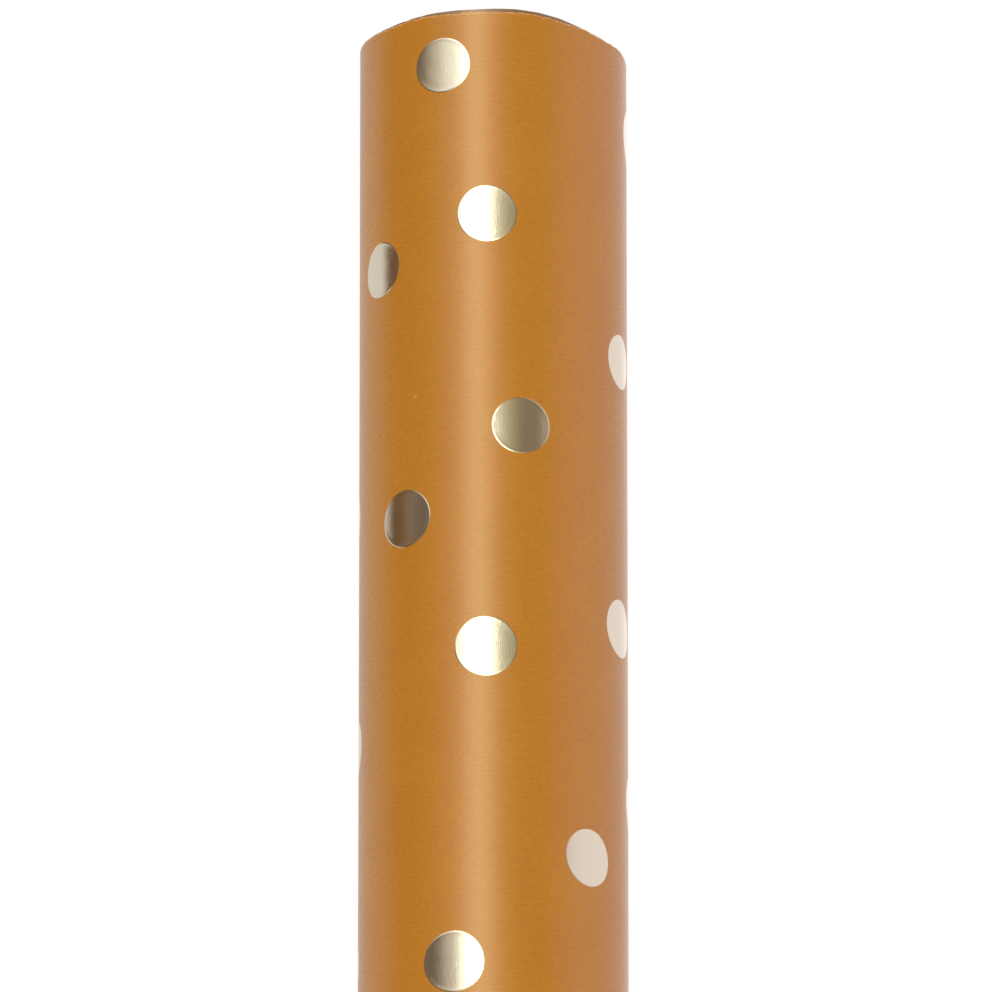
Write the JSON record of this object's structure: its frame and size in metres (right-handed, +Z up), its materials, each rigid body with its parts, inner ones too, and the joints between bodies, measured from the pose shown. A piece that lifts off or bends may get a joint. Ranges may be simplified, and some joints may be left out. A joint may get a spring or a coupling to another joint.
{
  "type": "wrapping paper roll",
  "caption": "Upright roll of gift-wrap paper with scattered foil dots, on a spiral-wound cardboard core, its free end held by clear tabs.",
  "frame": {"origin": "centre of the lower end, on the surface that the roll stands on", "axes": "+Z up along the roll's axis; -Y is the front and +X its right; the free edge is at the back, towards +X and +Y"},
  "size_m": [0.052, 0.052, 0.762],
  "materials": {
    "ochre_paper": "satin coated gift-wrap paper, mustard-ochre print",
    "gold_foil": "hot-stamped pale-gold foil, mirror bright",
    "paper_cut_edge": "stacked cut edges of printed paper",
    "kraft_liner": "matt kraft liner",
    "kraft_grey_board": "matt grey board",
    "clear_film": "clear adhesive film"
  },
  "bodies": {
    "roll": {"wound_paper": "paper_cut_edge", "outer_turn": "ochre_paper"},
    "core": {"core_inner_ply": "kraft_liner", "core_middle_ply": "kraft_grey_board", "core_outer_ply": "kraft_liner"},
    "free_end_strip_1": {"free_end_strip_1": "ochre_paper"},
    "free_end_strip_2": {"free_end_strip_2": "ochre_paper"},
    "free_end_strip_3": {"free_end_strip_3": "ochre_paper"},
    "free_end_strip_4": {"free_end_strip_4": "ochre_paper"},
    "free_end_strip_5": {"free_end_strip_5": "ochre_paper"},
    "free_end_strip_6": {"free_end_strip_6": "ochre_paper"},
    "seal_tab_lower": {"seal_tab_lower": "clear_film"},
    "seal_tab_middle": {"seal_tab_middle": "clear_film"},
    "seal_tab_upper": {"seal_tab_upper": "clear_film"}
  },
  "joints": [
    {"name": "core_slide", "type": "slide", "parent": "roll", "child": "core", "axis": [0, 0, 1], "range_m": [0, 0.76]},
    {"name": "curl_1", "type": "hinge", "parent": "roll", "child": "free_end_strip_1", "pos_m": [-0.02511, 0.00673, 0], "axis": [0, 0, 1], "range_deg": [0, 20]},
    {"name": "curl_2", "type": "hinge", "parent": "free_end_strip_1", "child": "free_end_strip_2", "pos_m": [-0.0213, 0.01491, 0], "axis": [0, 0, 1], "range_deg": [0, 20]},
    {"name": "curl_3", "type": "hinge", "parent": "free_end_strip_2", "child": "free_end_strip_3", "pos_m": [-0.01491, 0.0213, 0], "axis": [0, 0, 1], "range_deg": [0, 20]},
    {"name": "curl_4", "type": "hinge", "parent": "free_end_strip_3", "child": "free_end_strip_4", "pos_m": [-0.00673, 0.02511, 0], "axis": [0, 0, 1], "range_deg": [0, 20]},
    {"name": "curl_5", "type": "hinge", "parent": "free_end_strip_4", "child": "free_end_strip_5", "pos_m": [0.00227, 0.0259, 0], "axis": [0, 0, 1], "range_deg": [0, 20]},
    {"name": "curl_6", "type": "hinge", "parent": "free_end_strip_5", "child": "free_end_strip_6", "pos_m": [0.01099, 0.02356, 0], "axis": [0, 0, 1], "range_deg": [0, 20]},
    {"name": "peel_lower_tab", "type": "hinge", "parent": "free_end_strip_6", "child": "seal_tab_lower", "pos_m": [0.0131, 0.02269, 0.09], "axis": [0, 0, 1], "range_deg": [0, 75]},
    {"name": "peel_middle_tab", "type": "hinge", "parent": "free_end_strip_6", "child": "seal_tab_middle", "pos_m": [0.0131, 0.02269, 0.381], "axis": [0, 0, 1], "range_deg": [0, 75]},
    {"name": "peel_upper_tab", "type": "hinge", "parent": "free_end_strip_6", "child": "seal_tab_upper", "pos_m": [0.0131, 0.02269, 0.672], "axis": [0, 0, 1], "range_deg": [0, 75]}
  ],
  "couplings": [
    {"joint": "curl_2", "follows": "curl_1", "ratio": 1},
    {"joint": "curl_3", "follows": "curl_1", "ratio": 1},
    {"joint": "curl_4", "follows": "curl_1", "ratio": 1},
    {"joint": "curl_5", "follows": "curl_1", "ratio": 1},
    {"joint": "curl_6", "follows": "curl_1", "ratio": 1}
  ]
}
